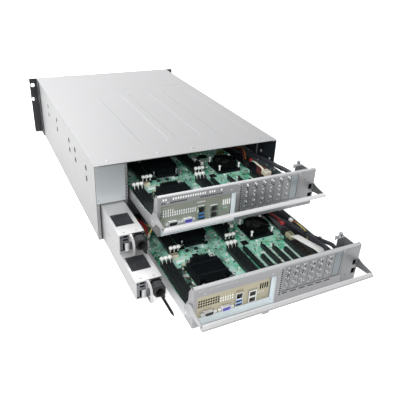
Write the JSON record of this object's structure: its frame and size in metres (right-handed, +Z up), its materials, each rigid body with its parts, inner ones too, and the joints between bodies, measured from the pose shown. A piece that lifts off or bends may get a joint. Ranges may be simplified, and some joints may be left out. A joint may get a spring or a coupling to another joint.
{
  "type": "storage server",
  "caption": "Rack storage server in a steel chassis, with server trays and power supplies that slide out of the rear and hot-swap drive carriers in the front.",
  "frame": {"origin": "middle of the underside of the chassis floor", "axes": "+X towards the power-supply side, +Y towards the rear, +Z up"},
  "size_m": [0.4826, 1.101, 0.1759],
  "materials": {
    "plated_steel": "satin zinc plate",
    "grey_panel": "satin zinc plate",
    "shield_steel": "thin stamped sheet",
    "screw_steel": "zinc plate",
    "black_metal": "satin black",
    "black_aluminium": "black anodised",
    "carrier_metal": "satin black",
    "handle_aluminium": "satin",
    "green_board": "solder mask",
    "black_plastic": "matt",
    "grey_plastic": "matt",
    "light_plastic": "matt",
    "cable_jacket": "sleeved"
  },
  "bodies": {
    "chassis": {"chassis_shell": "plated_steel", "front_top_cover": "plated_steel", "rear_top_cover": "plated_steel", "cover_screws": "screw_steel", "bay_partition": "plated_steel", "rear_blank_panel": "grey_panel", "supply_cage": "plated_steel", "drive_cage": "plated_steel", "drive_backplane": "green_board", "fan_wall": "plated_steel", "fan_frames": "black_plastic", "rack_ears": "black_metal"},
    "fan_1": {"fan_rotor_1": "black_plastic"},
    "fan_2": {"fan_rotor_2": "black_plastic"},
    "fan_3": {"fan_rotor_3": "black_plastic"},
    "button": {"power_button": "light_plastic"},
    "carrier_1": {"drive_carrier_1": "carrier_metal"},
    "carrier_2": {"drive_carrier_2": "carrier_metal"},
    "carrier_3": {"drive_carrier_3": "carrier_metal"},
    "carrier_4": {"drive_carrier_4": "carrier_metal"},
    "carrier_5": {"drive_carrier_5": "carrier_metal"},
    "carrier_6": {"drive_carrier_6": "carrier_metal"},
    "carrier_7": {"drive_carrier_7": "carrier_metal"},
    "carrier_8": {"drive_carrier_8": "carrier_metal"},
    "carrier_9": {"drive_carrier_9": "carrier_metal"},
    "carrier_10": {"drive_carrier_10": "carrier_metal"},
    "carrier_11": {"drive_carrier_11": "carrier_metal"},
    "carrier_12": {"drive_carrier_12": "carrier_metal"},
    "upper_tray": {"upper_tray_pan": "plated_steel", "upper_tray_panel": "grey_panel", "upper_port_shield": "shield_steel", "upper_slot_covers": "grey_panel", "upper_motherboard": "green_board", "upper_heatsinks": "black_aluminium", "upper_board_sockets": "black_plastic", "upper_latch_bracket": "plated_steel", "upper_cable_harness": "cable_jacket"},
    "upper_handle": {"upper_tray_handle": "handle_aluminium"},
    "upper_plunger": {"upper_latch_plunger": "black_plastic"},
    "lower_tray": {"lower_tray_pan": "plated_steel", "lower_tray_panel": "grey_panel", "lower_port_shield": "shield_steel", "lower_slot_covers": "grey_panel", "lower_motherboard": "green_board", "lower_heatsinks": "black_aluminium", "lower_board_sockets": "black_plastic", "lower_latch_bracket": "plated_steel", "lower_cable_harness": "cable_jacket"},
    "lower_handle": {"lower_tray_handle": "handle_aluminium"},
    "lower_plunger": {"lower_latch_plunger": "black_plastic"},
    "upper_supply": {"upper_supply_case": "plated_steel", "upper_supply_handle": "grey_plastic", "upper_supply_inlet": "black_plastic"},
    "upper_latch": {"upper_supply_latch": "light_plastic"},
    "upper_blower": {"upper_supply_fan": "black_plastic"},
    "lower_supply": {"lower_supply_case": "plated_steel", "lower_supply_handle": "grey_plastic", "lower_supply_inlet": "black_plastic"},
    "lower_latch": {"lower_supply_latch": "light_plastic"},
    "lower_blower": {"lower_supply_fan": "black_plastic"}
  },
  "joints": [
    {"name": "fan_1_spin", "type": "hinge", "parent": "chassis", "child": "fan_1", "pos_m": [-0.1445, -0.1278, 0.0875], "axis": [0, 1, 0], "continuous": true},
    {"name": "fan_2_spin", "type": "hinge", "parent": "chassis", "child": "fan_2", "pos_m": [0, -0.1278, 0.0875], "axis": [0, 1, 0], "continuous": true},
    {"name": "fan_3_spin", "type": "hinge", "parent": "chassis", "child": "fan_3", "pos_m": [0.1445, -0.1278, 0.0875], "axis": [0, 1, 0], "continuous": true},
    {"name": "button_press", "type": "slide", "parent": "chassis", "child": "button", "axis": [0, 1, 0], "range_m": [0, 0.0015], "stiffness_N_per_m": 500},
    {"name": "carrier_1_slide", "type": "slide", "parent": "chassis", "child": "carrier_1", "axis": [0, -1, 0], "range_m": [0, 0.17]},
    {"name": "carrier_2_slide", "type": "slide", "parent": "chassis", "child": "carrier_2", "axis": [0, -1, 0], "range_m": [0, 0.17]},
    {"name": "carrier_3_slide", "type": "slide", "parent": "chassis", "child": "carrier_3", "axis": [0, -1, 0], "range_m": [0, 0.17]},
    {"name": "carrier_4_slide", "type": "slide", "parent": "chassis", "child": "carrier_4", "axis": [0, -1, 0], "range_m": [0, 0.17]},
    {"name": "carrier_5_slide", "type": "slide", "parent": "chassis", "child": "carrier_5", "axis": [0, -1, 0], "range_m": [0, 0.17]},
    {"name": "carrier_6_slide", "type": "slide", "parent": "chassis", "child": "carrier_6", "axis": [0, -1, 0], "range_m": [0, 0.17]},
    {"name": "carrier_7_slide", "type": "slide", "parent": "chassis", "child": "carrier_7", "axis": [0, -1, 0], "range_m": [0, 0.17]},
    {"name": "carrier_8_slide", "type": "slide", "parent": "chassis", "child": "carrier_8", "axis": [0, -1, 0], "range_m": [0, 0.17]},
    {"name": "carrier_9_slide", "type": "slide", "parent": "chassis", "child": "carrier_9", "axis": [0, -1, 0], "range_m": [0, 0.17]},
    {"name": "carrier_10_slide", "type": "slide", "parent": "chassis", "child": "carrier_10", "axis": [0, -1, 0], "range_m": [0, 0.17]},
    {"name": "carrier_11_slide", "type": "slide", "parent": "chassis", "child": "carrier_11", "axis": [0, -1, 0], "range_m": [0, 0.17]},
    {"name": "carrier_12_slide", "type": "slide", "parent": "chassis", "child": "carrier_12", "axis": [0, -1, 0], "range_m": [0, 0.17]},
    {"name": "upper_tray_slide", "type": "slide", "parent": "chassis", "child": "upper_tray", "axis": [0, 1, 0], "range_m": [-0.161, 0.203]},
    {"name": "upper_handle_swing", "type": "hinge", "parent": "upper_tray", "child": "upper_handle", "pos_m": [-0.0324, 0.49, 0.1102], "axis": [1, 0, 0], "range_deg": [0, 40]},
    {"name": "upper_plunger_press", "type": "slide", "parent": "upper_tray", "child": "upper_plunger", "axis": [0, 0, -1], "range_m": [0, 0.0045], "stiffness_N_per_m": 400},
    {"name": "lower_tray_slide", "type": "slide", "parent": "chassis", "child": "lower_tray", "axis": [0, 1, 0], "range_m": [-0.324, 0.04]},
    {"name": "lower_handle_swing", "type": "hinge", "parent": "lower_tray", "child": "lower_handle", "pos_m": [-0.0324, 0.653, 0.0236], "axis": [1, 0, 0], "range_deg": [0, 40]},
    {"name": "lower_plunger_press", "type": "slide", "parent": "lower_tray", "child": "lower_plunger", "axis": [0, 0, -1], "range_m": [0, 0.0045], "stiffness_N_per_m": 400},
    {"name": "upper_supply_slide", "type": "slide", "parent": "chassis", "child": "upper_supply", "axis": [0, 1, 0], "range_m": [-0.124, 0.124]},
    {"name": "upper_latch_press", "type": "slide", "parent": "upper_supply", "child": "upper_latch", "axis": [-1, 0, 0], "range_m": [0, 0.0025], "stiffness_N_per_m": 600},
    {"name": "upper_blower_spin", "type": "hinge", "parent": "upper_supply", "child": "upper_blower", "pos_m": [0.184, 0.4214, 0.0642], "axis": [0, 1, 0], "continuous": true},
    {"name": "lower_supply_slide", "type": "slide", "parent": "chassis", "child": "lower_supply", "axis": [0, 1, 0], "range_m": [-0.218, 0.03]},
    {"name": "lower_latch_press", "type": "slide", "parent": "lower_supply", "child": "lower_latch", "axis": [-1, 0, 0], "range_m": [0, 0.0025], "stiffness_N_per_m": 600},
    {"name": "lower_blower_spin", "type": "hinge", "parent": "lower_supply", "child": "lower_blower", "pos_m": [0.184, 0.5154, 0.0222], "axis": [0, 1, 0], "continuous": true}
  ]
}
